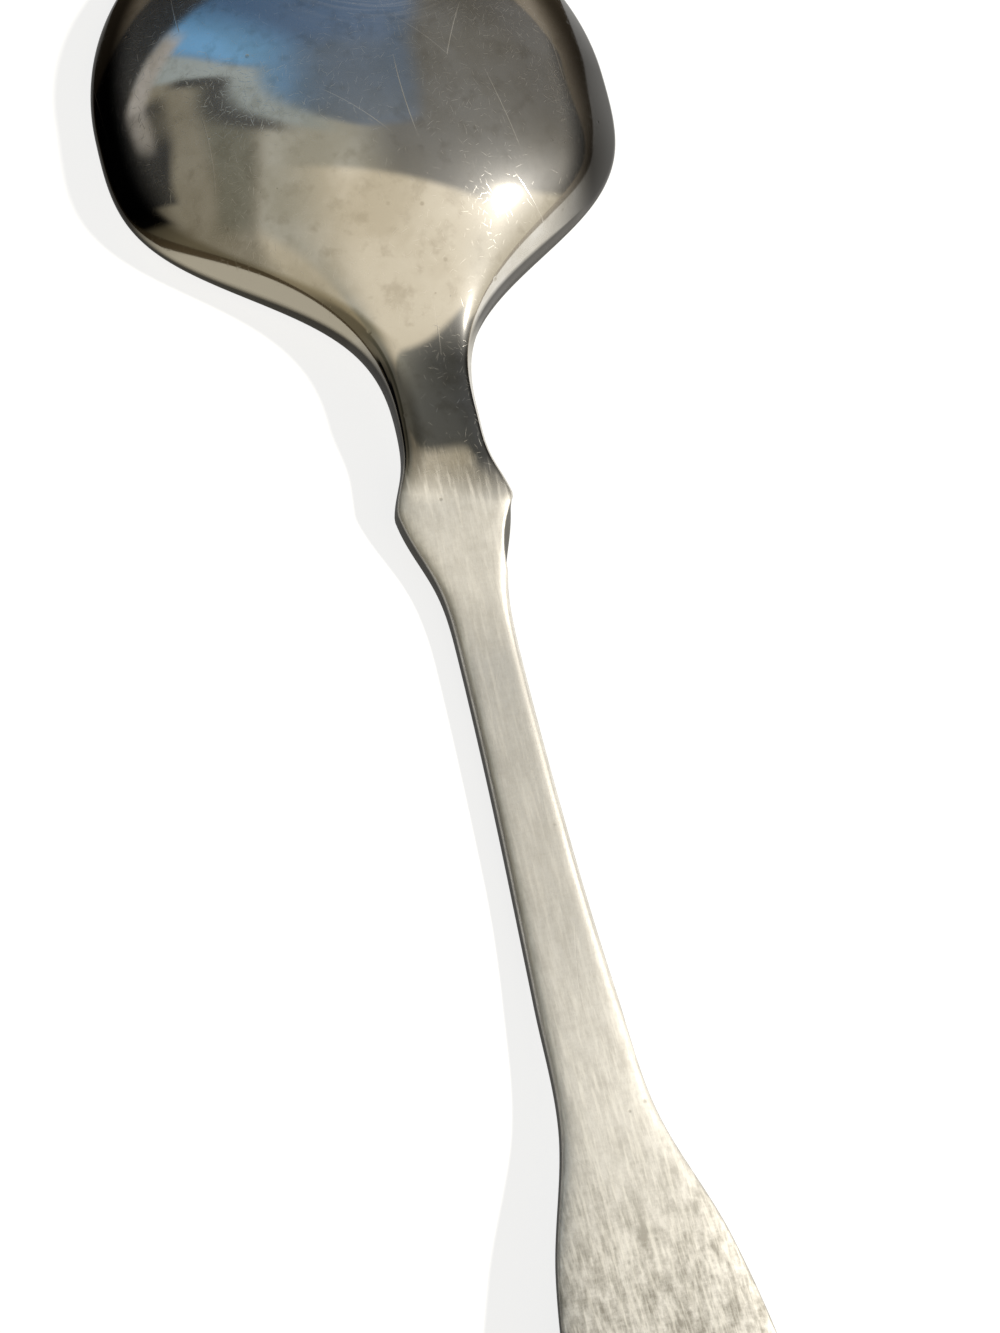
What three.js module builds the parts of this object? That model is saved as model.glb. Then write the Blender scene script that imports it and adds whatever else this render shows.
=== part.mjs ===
// Serving spoon struck from one steel blank: a round bowl and a fiddle-shaped handle.
// It lies face down with its back up, as on a table. Millimetres, +Z up, bowl tip towards +Y.
import * as THREE from 'three';
import { mergeVertices } from 'three/addons/utils/BufferGeometryUtils.js';

// Spans along the spoon, one after the other from the bowl's tip to the end of the handle.
const tipToWidest = 30;
const widestToNeck = 40.5;
const neckToPip = 10.2;
const pipToShank = 18.6;
const shankFlat = 24;
const flatToShankEnd = 13.5;
const shankEndToFlare = 13;
const flareToFiddle = 14.5;
const fiddleToEndWidest = 22;
const endRound = 14.7;

// Widths of the outline where those spans meet.
const bowlWidth = 60.6;
const neckWidth = 9.2;
const pipWidth = 13.4;
const shankWidth = 6.7;
const shankEndWidth = 8.8;
const flareWidth = 10.4;
const fiddleWidth = 18.8;
const endWidth = 23.4;

// Heights of the front face above the table. The flat of the shank and the bowl's tip lie on it.
const rimLift = 0.9;
const neckLift = 2.2;
const pipLift = 0.4;
const fiddleLift = 3.2;
const endLift = 7.5;

// Height of the upright edge all round the outline.
const rimEdge = 0.9;
const neckEdge = 2.6;
const pipEdge = 2.6;
const shankEdge = 1.7;
const endEdge = 1.1;

// How far the back rises from that edge to the middle of the spoon.
const bowlCrown = 13.5;
const handleCrown = 0.7;

// How far past the neck the bowl's crown runs out, and how far past its widest place the heel's flatness is set.
const crownPastNeck = 3.2;
const widestToHeel = 14;

// The bowl's hollow: the flat land of the rim round it and the steel left behind it.
const rimLand = 1.1;
const bowlWall = 1.4;

// Powers of the rounded ends in plan, 2 for an ellipse and more for a squarer one.
const tipPower = 2;
const endPower = 2.3;

// How flat the back is across, 0 for a plain arch and 1 for a flat that falls away only near the edges.
const bowlFlatness = 0.06;
const heelFlatness = 0.2;
const neckFlatness = 0.96;
const shankFlatness = 1;
const endFlatness = 0.6;

// How softly each curve leaves its first station and arrives at the next.
const heelCurve = { leave: 2.7, arrive: 2 };
const pipCurve = { leave: 3.2, arrive: 1.05 };
const waistCurve = { leave: 1.06, arrive: 3.3 };
const crownCurve = { leave: 2.6, arrive: 2.05 };
const hollowCurve = { leave: 3, arrive: 1.5 };
const rimCurve = { leave: 3, arrive: 1.6 };

// Fineness of the surface.
const ringStep = 2.4;
const tipRings = 11;
const endRings = 7;
const frontPoints = 11;
const backPoints = 15;

// Places of the stations, measured from the bowl's tip.
const widestAt = tipToWidest;
const heelAt = widestAt + widestToHeel;
const neckAt = widestAt + widestToNeck;
const crownEndAt = neckAt + crownPastNeck;
const pipAt = neckAt + neckToPip;
const shankAt = pipAt + pipToShank;
const flatEndAt = shankAt + shankFlat;
const shankEndAt = flatEndAt + flatToShankEnd;
const flareAt = shankEndAt + shankEndToFlare;
const fiddleAt = flareAt + flareToFiddle;
const endWidestAt = fiddleAt + fiddleToEndWidest;
const spoonLength = endWidestAt + endRound;

// A share that grows from 0 at one place to 1 at another, as soft at either end as its curve says.
function easeBetween(place, from, to, curve) {
  const t = THREE.MathUtils.clamp((place - from) / (to - from), 0, 1);
  const gone = t ** curve.leave;
  return gone / (gone + (1 - t) ** curve.arrive);
}

// A smooth line through [place, value] stations, level at both ends, that never swings past them.
function smoothThrough(stations) {
  const last = stations.length - 1;
  const spanOf = (i) => stations[i + 1][0] - stations[i][0];
  const riseOf = (i) => (stations[i + 1][1] - stations[i][1]) / spanOf(i);
  const slopes = stations.map((station, i) => {
    if (i === 0 || i === last) return 0;
    const before = riseOf(i - 1);
    const after = riseOf(i);
    if (before * after <= 0) return 0;
    const mean = (before * spanOf(i) + after * spanOf(i - 1)) / (spanOf(i - 1) + spanOf(i));
    return Math.sign(mean) * Math.min(Math.abs(mean), 3 * Math.abs(before), 3 * Math.abs(after));
  });
  return (place) => {
    let i = 0;
    while (i < last - 1 && place > stations[i + 1][0]) i += 1;
    const t = THREE.MathUtils.clamp((place - stations[i][0]) / spanOf(i), 0, 1);
    const ease = t * t * (3 - 2 * t);
    const leaving = t * (1 - t) ** 2 * spanOf(i) * slopes[i];
    const arriving = t ** 2 * (1 - t) * spanOf(i) * slopes[i + 1];
    return THREE.MathUtils.lerp(stations[i][1], stations[i + 1][1], ease) + leaving - arriving;
  };
}

const shankToEndWidth = smoothThrough([
  [shankAt, shankWidth],
  [shankEndAt, shankEndWidth],
  [flareAt, flareWidth],
  [fiddleAt, fiddleWidth],
  [endWidestAt, endWidth],
]);

const frontLift = smoothThrough([
  [0, 0],
  [widestAt, rimLift],
  [neckAt, neckLift],
  [pipAt, pipLift],
  [shankAt, 0],
  [flatEndAt, 0],
  [fiddleAt, fiddleLift],
  [spoonLength, endLift],
]);

const handleEdge = smoothThrough([
  [neckAt, neckEdge],
  [pipAt, pipEdge],
  [shankAt, shankEdge],
  [flatEndAt, shankEdge],
  [spoonLength, endEdge],
]);

const backFlatness = smoothThrough([
  [widestAt, bowlFlatness],
  [heelAt, heelFlatness],
  [neckAt, neckFlatness],
  [pipAt, shankFlatness],
  [flatEndAt, shankFlatness],
  [fiddleAt, endFlatness],
  [spoonLength, endFlatness],
]);

// Height of an arch at a share of its reach, 1 in the middle and 0 at the edge.
const archAt = (share, flatness) => 1 - THREE.MathUtils.lerp(share ** 2, share ** 8, flatness);

// Reach of a rounded end at a share of its length, 1 where it starts and 0 at its tip.
const roundedEnd = (share, power) => (1 - share ** power) ** (1 / power);

// How far past the widest place of the bowl, of its hollow or of the handle's end a station lies, from 0 to 1.
const tipShare = (place) => THREE.MathUtils.clamp((widestAt - place) / tipToWidest, 0, 1);
const hollowShare = (place) => THREE.MathUtils.clamp((widestAt - place) / (tipToWidest - rimLand), 0, 1);
const endShare = (place) => THREE.MathUtils.clamp((place - endWidestAt) / endRound, 0, 1);

function widthAt(place) {
  if (place < widestAt) return bowlWidth * roundedEnd(tipShare(place), tipPower);
  if (place < neckAt) {
    return THREE.MathUtils.lerp(bowlWidth, neckWidth, easeBetween(place, widestAt, neckAt, heelCurve));
  }
  if (place < pipAt) {
    return THREE.MathUtils.lerp(neckWidth, pipWidth, easeBetween(place, neckAt, pipAt, pipCurve));
  }
  if (place < shankAt) {
    return THREE.MathUtils.lerp(pipWidth, shankWidth, easeBetween(place, pipAt, shankAt, waistCurve));
  }
  if (place < endWidestAt) return shankToEndWidth(place);
  return endWidth * roundedEnd(endShare(place), endPower);
}

function edgeAt(place) {
  if (place > neckAt) return handleEdge(place);
  return THREE.MathUtils.lerp(rimEdge, neckEdge, easeBetween(place, widestAt, neckAt, rimCurve));
}

function crownAt(place) {
  if (place < widestAt) return bowlCrown * archAt(tipShare(place), bowlFlatness);
  const crown = THREE.MathUtils.lerp(bowlCrown, handleCrown, easeBetween(place, widestAt, crownEndAt, crownCurve));
  return crown * archAt(endShare(place), endFlatness);
}

// Half the width of the hollow, the outline drawn in by the rim's land.
function hollowHalfWidthAt(place) {
  if (place >= widestAt) return Math.max(0, widthAt(place) / 2 - rimLand);
  return (bowlWidth / 2 - rimLand) * roundedEnd(hollowShare(place), tipPower);
}

// Depth of the hollow, which keeps the bowl's wall behind it and runs out at the rim and at the neck.
function hollowDepthAt(place) {
  if (place < widestAt) return (rimEdge + bowlCrown - bowlWall) * archAt(hollowShare(place), bowlFlatness);
  const full = edgeAt(place) + crownAt(place) - bowlWall;
  return full * (1 - easeBetween(place, widestAt, neckAt, hollowCurve));
}

// Shares across the spoon from -1 to 1, closer together towards the edges.
function sharesAcross(count) {
  const step = Math.PI / (count - 1);
  return Array.from({ length: count }, (unused, i) => Math.sin(i * step - Math.PI / 2));
}

const placeToY = (place) => spoonLength / 2 - place;

// One closed ring of points: along the front from left to right, then over the back.
function ringAt(place) {
  const halfWidth = widthAt(place) / 2;
  const hollowHalf = hollowHalfWidthAt(place);
  const hollow = hollowDepthAt(place);
  const front = frontLift(place);
  const edge = front + edgeAt(place);
  const crown = crownAt(place);
  const flatness = backFlatness(place);
  const across = sharesAcross(frontPoints).map((share) => [
    share * hollowHalf,
    front + hollow * archAt(share, bowlFlatness),
  ]);
  const over = sharesAcross(backPoints).map((share) => [
    -share * halfWidth,
    edge + crown * archAt(share, flatness),
  ]);
  const outline = [[-halfWidth, front], ...across, [halfWidth, front], ...over];
  return outline.map(([x, z]) => new THREE.Vector3(x, placeToY(place), z));
}

// Places of the rings between stations, at most one ring step apart.
function placesBetween(stations) {
  const places = [stations[0]];
  for (let i = 1; i < stations.length; i += 1) {
    const span = stations[i] - stations[i - 1];
    const steps = Math.ceil(span / ringStep);
    for (let k = 1; k <= steps; k += 1) places.push(stations[i - 1] + (span * k) / steps);
  }
  return places;
}

// Places that follow a rounded end evenly along its outline.
const tipPlaces = Array.from({ length: tipRings }, (unused, i) =>
  tipToWidest * (1 - Math.cos((i / tipRings) * (Math.PI / 2))));
const endPlaces = Array.from({ length: endRings }, (unused, i) =>
  endWidestAt + endRound * Math.sin(((i + 1) / endRings) * (Math.PI / 2)));

// A flat cap over a cut ring, as triangles round its middle.
function capTriangles(ring, facesTip) {
  const middle = new THREE.Vector3();
  ring.forEach((point) => middle.addScaledVector(point, 1 / ring.length));
  return ring.flatMap((point, i) => {
    const next = ring[(i + 1) % ring.length];
    return facesTip ? [middle, next, point] : [middle, point, next];
  });
}

// The skin between rings that run from the tip towards the handle's end.
function skinTriangles(rings) {
  return rings.slice(1).flatMap((behind, r) => {
    const ahead = rings[r];
    return ahead.flatMap((point, i) => {
      const next = (i + 1) % ahead.length;
      return [point, behind[next], behind[i], point, ahead[next], behind[next]];
    });
  });
}

// One closed solid from its triangles' corners, without those that a rounded end draws to a line.
function solidGeometry(corners) {
  const loose = new THREE.BufferGeometry().setFromPoints(corners);
  const solid = mergeVertices(loose);
  const index = solid.getIndex().array;
  const kept = [];
  for (let i = 0; i < index.length; i += 3) {
    const [a, b, c] = index.slice(i, i + 3);
    if (a !== b && b !== c && c !== a) kept.push(a, b, c);
  }
  solid.setIndex(kept);
  solid.computeVertexNormals();
  return solid;
}

const polishedSteel = new THREE.MeshStandardMaterial({ color: 0xb4b1a9, roughness: 0.18, metalness: 1 });
const satinSteel = new THREE.MeshStandardMaterial({ color: 0xb9b4a6, roughness: 0.38, metalness: 1 });

// The bowl and the handle meet face to face on a flat section across the neck.
const neckRing = ringAt(neckAt);

function makeBowl() {
  const places = [...tipPlaces, ...placesBetween([widestAt, neckAt])];
  const corners = [...skinTriangles(places.map(ringAt)), ...capTriangles(neckRing, false)];
  const bowl = new THREE.Mesh(solidGeometry(corners), polishedSteel);
  bowl.name = 'bowl';
  return bowl;
}

function makeHandle() {
  const stations = [neckAt, pipAt, shankAt, flatEndAt, shankEndAt, flareAt, fiddleAt, endWidestAt];
  const places = [...placesBetween(stations), ...endPlaces];
  const corners = [...skinTriangles(places.map(ringAt)), ...capTriangles(neckRing, true)];
  const handle = new THREE.Mesh(solidGeometry(corners), satinSteel);
  handle.name = 'handle';
  return handle;
}

const servingSpoon = new THREE.Group();
servingSpoon.add(makeBowl(), makeHandle());

export default servingSpoon;
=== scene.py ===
import math
import bmesh
import bpy
import numpy as np
from mathutils import Matrix, Vector


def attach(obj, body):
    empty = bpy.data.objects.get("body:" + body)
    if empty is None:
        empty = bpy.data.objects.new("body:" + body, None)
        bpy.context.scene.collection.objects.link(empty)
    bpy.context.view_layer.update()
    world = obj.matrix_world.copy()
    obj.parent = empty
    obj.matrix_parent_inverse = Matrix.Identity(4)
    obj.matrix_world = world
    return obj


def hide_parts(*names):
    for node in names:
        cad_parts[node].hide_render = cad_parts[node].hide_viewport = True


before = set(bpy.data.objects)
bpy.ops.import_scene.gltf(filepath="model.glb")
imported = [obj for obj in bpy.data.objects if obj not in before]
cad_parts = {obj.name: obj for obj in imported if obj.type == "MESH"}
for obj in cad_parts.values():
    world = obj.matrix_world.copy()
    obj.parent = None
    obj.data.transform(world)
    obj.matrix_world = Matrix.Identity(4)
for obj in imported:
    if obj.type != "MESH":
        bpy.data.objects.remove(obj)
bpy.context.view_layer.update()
print("frame loaded:", sorted(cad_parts))

mm = 0.001

# sizes of the spoon in mm, the same rule as its solids
spoon = {
    "tipToWidest": 30, "widestToNeck": 40.5, "neckToPip": 10.2, "pipToShank": 18.6, "shankFlat": 24,
    "flatToShankEnd": 13.5, "shankEndToFlare": 13, "flareToFiddle": 14.5, "fiddleToEndWidest": 22,
    "endRound": 14.7,
    "bowlWidth": 60.6, "neckWidth": 9.2, "pipWidth": 13.4, "shankWidth": 6.7, "shankEndWidth": 8.8,
    "flareWidth": 10.4, "fiddleWidth": 18.8, "endWidth": 23.4,
    "rimLift": 0.9, "neckLift": 2.2, "pipLift": 0.4, "fiddleLift": 3.2, "endLift": 7.5,
    "rimEdge": 0.9, "neckEdge": 2.6, "pipEdge": 2.6, "shankEdge": 1.7, "endEdge": 1.1,
    "bowlCrown": 13.494,  # a hair under the solids' crown, so that the finer sections stay in their box
    "handleCrown": 0.7, "crownPastNeck": 3.2, "widestToHeel": 14, "rimLand": 1.1, "bowlWall": 1.4,
    "endPower": 2.3, "archPower": 2, "flatPower": 8,
    "bowlFlatness": 0.06, "heelFlatness": 0.2, "neckFlatness": 0.96, "shankFlatness": 1, "endFlatness": 0.6,
    "heelCurve": (2.7, 2), "pipCurve": (3.2, 1.05), "waistCurve": (1.06, 3.3),
    "crownCurve": (2.6, 2.05), "hollowCurve": (3, 1.5), "rimCurve": (3, 1.6),
}

# places of the stations from the bowl's tip
widestAt = spoon["tipToWidest"]
heelAt = widestAt + spoon["widestToHeel"]
neckAt = widestAt + spoon["widestToNeck"]
crownEndAt = neckAt + spoon["crownPastNeck"]
pipAt = neckAt + spoon["neckToPip"]
shankAt = pipAt + spoon["pipToShank"]
flatEndAt = shankAt + spoon["shankFlat"]
shankEndAt = flatEndAt + spoon["flatToShankEnd"]
flareAt = shankEndAt + spoon["shankEndToFlare"]
fiddleAt = flareAt + spoon["flareToFiddle"]
endWidestAt = fiddleAt + spoon["fiddleToEndWidest"]
spoonLength = endWidestAt + spoon["endRound"]


def easeBetween(place, start, end, curve):
    t = min(max((place - start) / (end - start), 0), 1)
    gone = t ** curve[0]
    return gone / (gone + (1 - t) ** curve[1])


def mix(a, b, share):
    return a + (b - a) * share


# a size on its way from one station's value to the next one's
def eased(place, start, end, first, last, curve):
    return mix(spoon[first], spoon[last], easeBetween(place, start, end, spoon[curve]))


def metres(sizes):
    return [size * mm for size in sizes]


# where a place along the spoon lies on the Y axis, in metres
def yAt(place):
    return (spoonLength / 2 - place) * mm


# a smooth line through stations, level at both ends, that never swings past them
def smoothThrough(stations):
    steepest = 3  # times the rise on either side
    places = [s[0] for s in stations]
    values = [s[1] for s in stations]
    spans = [b - a for a, b in zip(places, places[1:])]
    rises = [(b - a) / span for a, b, span in zip(values, values[1:], spans)]
    slopes = [0] * len(stations)
    for i in range(1, len(stations) - 1):
        before, after = rises[i - 1], rises[i]
        if before * after > 0:
            mean = (before * spans[i] + after * spans[i - 1]) / (spans[i - 1] + spans[i])
            slopes[i] = math.copysign(min(abs(mean), steepest * abs(before), steepest * abs(after)), mean)

    def valueAt(place):
        i = 0
        while i < len(spans) - 1 and place > places[i + 1]:
            i += 1
        t = min(max((place - places[i]) / spans[i], 0), 1)
        bend = t * (1 - t) ** 2 * spans[i] * slopes[i] - t ** 2 * (1 - t) * spans[i] * slopes[i + 1]
        return mix(values[i], values[i + 1], t * t * (3 - 2 * t)) + bend

    return valueAt


shankToEndWidth = smoothThrough([
    (shankAt, spoon["shankWidth"]), (shankEndAt, spoon["shankEndWidth"]), (flareAt, spoon["flareWidth"]),
    (fiddleAt, spoon["fiddleWidth"]), (endWidestAt, spoon["endWidth"])])
frontLift = smoothThrough([
    (0, 0), (widestAt, spoon["rimLift"]), (neckAt, spoon["neckLift"]), (pipAt, spoon["pipLift"]),
    (shankAt, 0), (flatEndAt, 0), (fiddleAt, spoon["fiddleLift"]), (spoonLength, spoon["endLift"])])
handleEdge = smoothThrough([
    (neckAt, spoon["neckEdge"]), (pipAt, spoon["pipEdge"]), (shankAt, spoon["shankEdge"]),
    (flatEndAt, spoon["shankEdge"]), (spoonLength, spoon["endEdge"])])
backFlatness = smoothThrough([
    (widestAt, spoon["bowlFlatness"]), (heelAt, spoon["heelFlatness"]), (neckAt, spoon["neckFlatness"]),
    (pipAt, spoon["shankFlatness"]), (flatEndAt, spoon["shankFlatness"]),
    (fiddleAt, spoon["endFlatness"]), (spoonLength, spoon["endFlatness"])])


def archAt(share, flatness):
    share = min(abs(share), 1)
    return 1 - mix(share ** spoon["archPower"], share ** spoon["flatPower"], flatness)


def shareOf(value):
    return min(max(value, 0), 1)


def tipShare(place):
    return shareOf((widestAt - place) / spoon["tipToWidest"])


def endShare(place):
    return shareOf((place - endWidestAt) / spoon["endRound"])


def halfWidthAt(place):
    if place < widestAt:
        return spoon["bowlWidth"] / 2 * math.sqrt(1 - tipShare(place) ** 2)
    if place < neckAt:
        return eased(place, widestAt, neckAt, "bowlWidth", "neckWidth", "heelCurve") / 2
    if place < pipAt:
        return eased(place, neckAt, pipAt, "neckWidth", "pipWidth", "pipCurve") / 2
    if place < shankAt:
        return eased(place, pipAt, shankAt, "pipWidth", "shankWidth", "waistCurve") / 2
    if place < endWidestAt:
        return shankToEndWidth(place) / 2
    power = spoon["endPower"]
    return spoon["endWidth"] / 2 * (1 - endShare(place) ** power) ** (1 / power)


def edgeAt(place):
    if place > neckAt:
        return handleEdge(place)
    return eased(place, widestAt, neckAt, "rimEdge", "neckEdge", "rimCurve")


def crownAt(place):
    if place < widestAt:
        return spoon["bowlCrown"] * archAt(tipShare(place), spoon["bowlFlatness"])
    crown = eased(place, widestAt, crownEndAt, "bowlCrown", "handleCrown", "crownCurve")
    return crown * archAt(endShare(place), spoon["endFlatness"])


def hollowDepthAt(place):
    if place < widestAt:
        share = shareOf((widestAt - place) / (spoon["tipToWidest"] - spoon["rimLand"]))
        full = spoon["rimEdge"] + spoon["bowlCrown"] - spoon["bowlWall"]
        return full * archAt(share, spoon["bowlFlatness"])
    full = edgeAt(place) + crownAt(place) - spoon["bowlWall"]
    return full * (1 - easeBetween(place, widestAt, neckAt, spoon["hollowCurve"]))


def backHeight(x, place):
    half = max(halfWidthAt(place), sections["leastHalf"])
    return frontLift(place) + edgeAt(place) + crownAt(place) * archAt(x / half, backFlatness(place))


# how the sections are cut and how far their edges are rounded, in mm
sections = {
    "tipSteps": 72, "heelStep": 0.6, "handleStep": 0.55, "endSteps": 36,
    "backSteps": 34, "roundSteps": 5, "wallSteps": 2, "landSteps": 3, "hollowSteps": 20,
    "backRound": 0.34, "frontRound": 0.3, "lipSoftness": 1.22,
    "flankBevel": 0.95, "flankLength": 8.6, "flankSkew": 0.9, "softenings": 2,
    "leastHalf": 1e-6, "probe": 0.02, "weld": 0.002,  # small distances for dividing, slopes and merging
    "sideFade": (0.3, 0.9), "frontFar": 50,  # where scale starts on the round, and the front's own distance
}


# outline points [half width, place] of one piece, close together where the outline turns
def outlinePoints(start, end):
    points = []
    if start == 0:
        for i in range(sections["tipSteps"]):
            turn = math.pi / 2 * i / sections["tipSteps"]
            place = widestAt - spoon["tipToWidest"] * math.cos(turn)
            points.append((spoon["bowlWidth"] / 2 * math.sin(turn), place))
        start = widestAt
    straightEnd = min(end, endWidestAt)
    step = sections["heelStep"] if end <= neckAt else sections["handleStep"]
    count = math.ceil((straightEnd - start) / step)
    for i in range(count + 1):
        place = start + (straightEnd - start) * i / count
        points.append((halfWidthAt(place), place))
    if end > endWidestAt:
        power = 2 / spoon["endPower"]
        for i in range(1, sections["endSteps"] + 1):
            turn = math.pi / 2 * i / sections["endSteps"]
            share = math.sin(turn) ** power
            reach = math.cos(turn) ** power if i < sections["endSteps"] else 0
            points.append((spoon["endWidth"] / 2 * reach, endWidestAt + spoon["endRound"] * share))
    return points


# outward directions of the outline in plan, softened where it turns sharply at the points below the neck
def outwardDirections(points):
    xs = np.array([p[0] for p in points])
    ys = np.array([-p[1] for p in points])
    normals = np.stack([-np.gradient(ys), np.gradient(xs)], 1)
    normals *= np.where(normals[:, :1] < 0, -1, 1)
    normals /= np.linalg.norm(normals, axis=1, keepdims=True)
    if xs[0] == 0:
        normals[0] = (0, 1)
    if xs[-1] == 0:
        normals[-1] = (0, -1)
    soft = normals.copy()
    for _ in range(sections["softenings"]):
        soft[1:-1] = (soft[:-2] + 2 * soft[1:-1] + soft[2:]) / 4
        soft /= np.linalg.norm(soft, axis=1, keepdims=True)
    soft[0], soft[-1] = normals[0], normals[-1]
    return soft


# how far the right point's lower flank leans in towards the back
def flankAt(place):
    share = shareOf((place - pipAt) / sections["flankLength"])
    return sections["flankBevel"] * math.sin(math.pi * share ** sections["flankSkew"])


def spineMesh(name, start, end):
    points = outlinePoints(start, end)
    outward = outwardDirections(points)
    if start > 0:
        outward[0] = (1, 0)
    if end < spoonLength:
        outward[-1] = (1, 0)
    inset, probe = sections["backRound"], sections["probe"]
    rows = {"outline": [], "outward": [], "heights": [], "flank": [], "back": [], "hollow": []}
    for (half, place), (nx, ny) in zip(points, outward):
        backPlace = place + inset * ny
        bevel = flankAt(place)
        corners = []
        for drawnIn in (inset, inset + bevel):
            shoulder = backHeight(half - drawnIn * nx, backPlace)
            inner = backHeight(half - (drawnIn + probe) * nx, backPlace + probe * ny)
            corners.append((shoulder - (inner - shoulder) / probe * inset, shoulder))
        rows["outline"].append((half, spoonLength / 2 - place, 0))
        rows["outward"].append((nx, ny, 0))
        rows["heights"].append((frontLift(place), *corners[0]))
        rows["flank"].append((bevel, *corners[1]))
        backBase = frontLift(backPlace) + edgeAt(backPlace)
        rows["back"].append((backBase, crownAt(backPlace), halfWidthAt(backPlace)))
        hollowDepth = hollowDepthAt(place + spoon["rimLand"] * ny)
        rows["hollow"].append((hollowDepth, backFlatness(backPlace), min(place, spoonLength - place)))
    mesh = bpy.data.meshes.new(name)
    mesh.from_pydata([(0, row[1] * mm, 0) for row in rows["outline"]], [], [])
    for attributeName, values in rows.items():
        scale = np.ones(3)
        if attributeName in ("outline", "heights", "flank", "back"):
            scale *= mm
        if attributeName == "hollow":
            scale = np.array([mm, 1, mm])
        attribute = mesh.attributes.new(attributeName, "FLOAT_VECTOR", "POINT")
        attribute.data.foreach_set("vector", (np.array(values, float) * scale).astype(np.float32).ravel())
    return mesh


def addNode(tree, kind, **settings):
    node = tree.nodes.new(kind)
    for name, value in settings.items():
        setattr(node, name, value)
    return node


def feed(tree, socket, value):
    if isinstance(value, bpy.types.NodeSocket):
        tree.links.new(value, socket)
    else:
        socket.default_value = value


def calc(tree, operation, *values):
    node = addNode(tree, "ShaderNodeMath", operation=operation)
    for socket, value in zip(node.inputs, values):
        feed(tree, socket, value)
    return node.outputs[0]


def product(tree, first, *others):
    for value in others:
        first = calc(tree, "MULTIPLY", first, value)
    return first


def largest(tree, first, *others):
    for value in others:
        first = calc(tree, "MAXIMUM", first, value)
    return first


def minus(tree, a, b):
    return calc(tree, "SUBTRACT", a, b)


# a base with a share of some amount added
def plus(tree, base, share, amount):
    return calc(tree, "MULTIPLY_ADD", share, amount, base)


# what a share leaves of 1
def rest(tree, share):
    return minus(tree, 1, share)


# 0 up to one value and 1 from another, straight or smooth between
def ramp(tree, value, start, end, smooth=False):
    node = addNode(tree, "ShaderNodeMapRange", clamp=True)
    if smooth:
        node.interpolation_type = "SMOOTHSTEP"
    feed(tree, node.inputs["Value"], value)
    feed(tree, node.inputs["From Min"], start)
    feed(tree, node.inputs["From Max"], end)
    return node.outputs["Result"]


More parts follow.
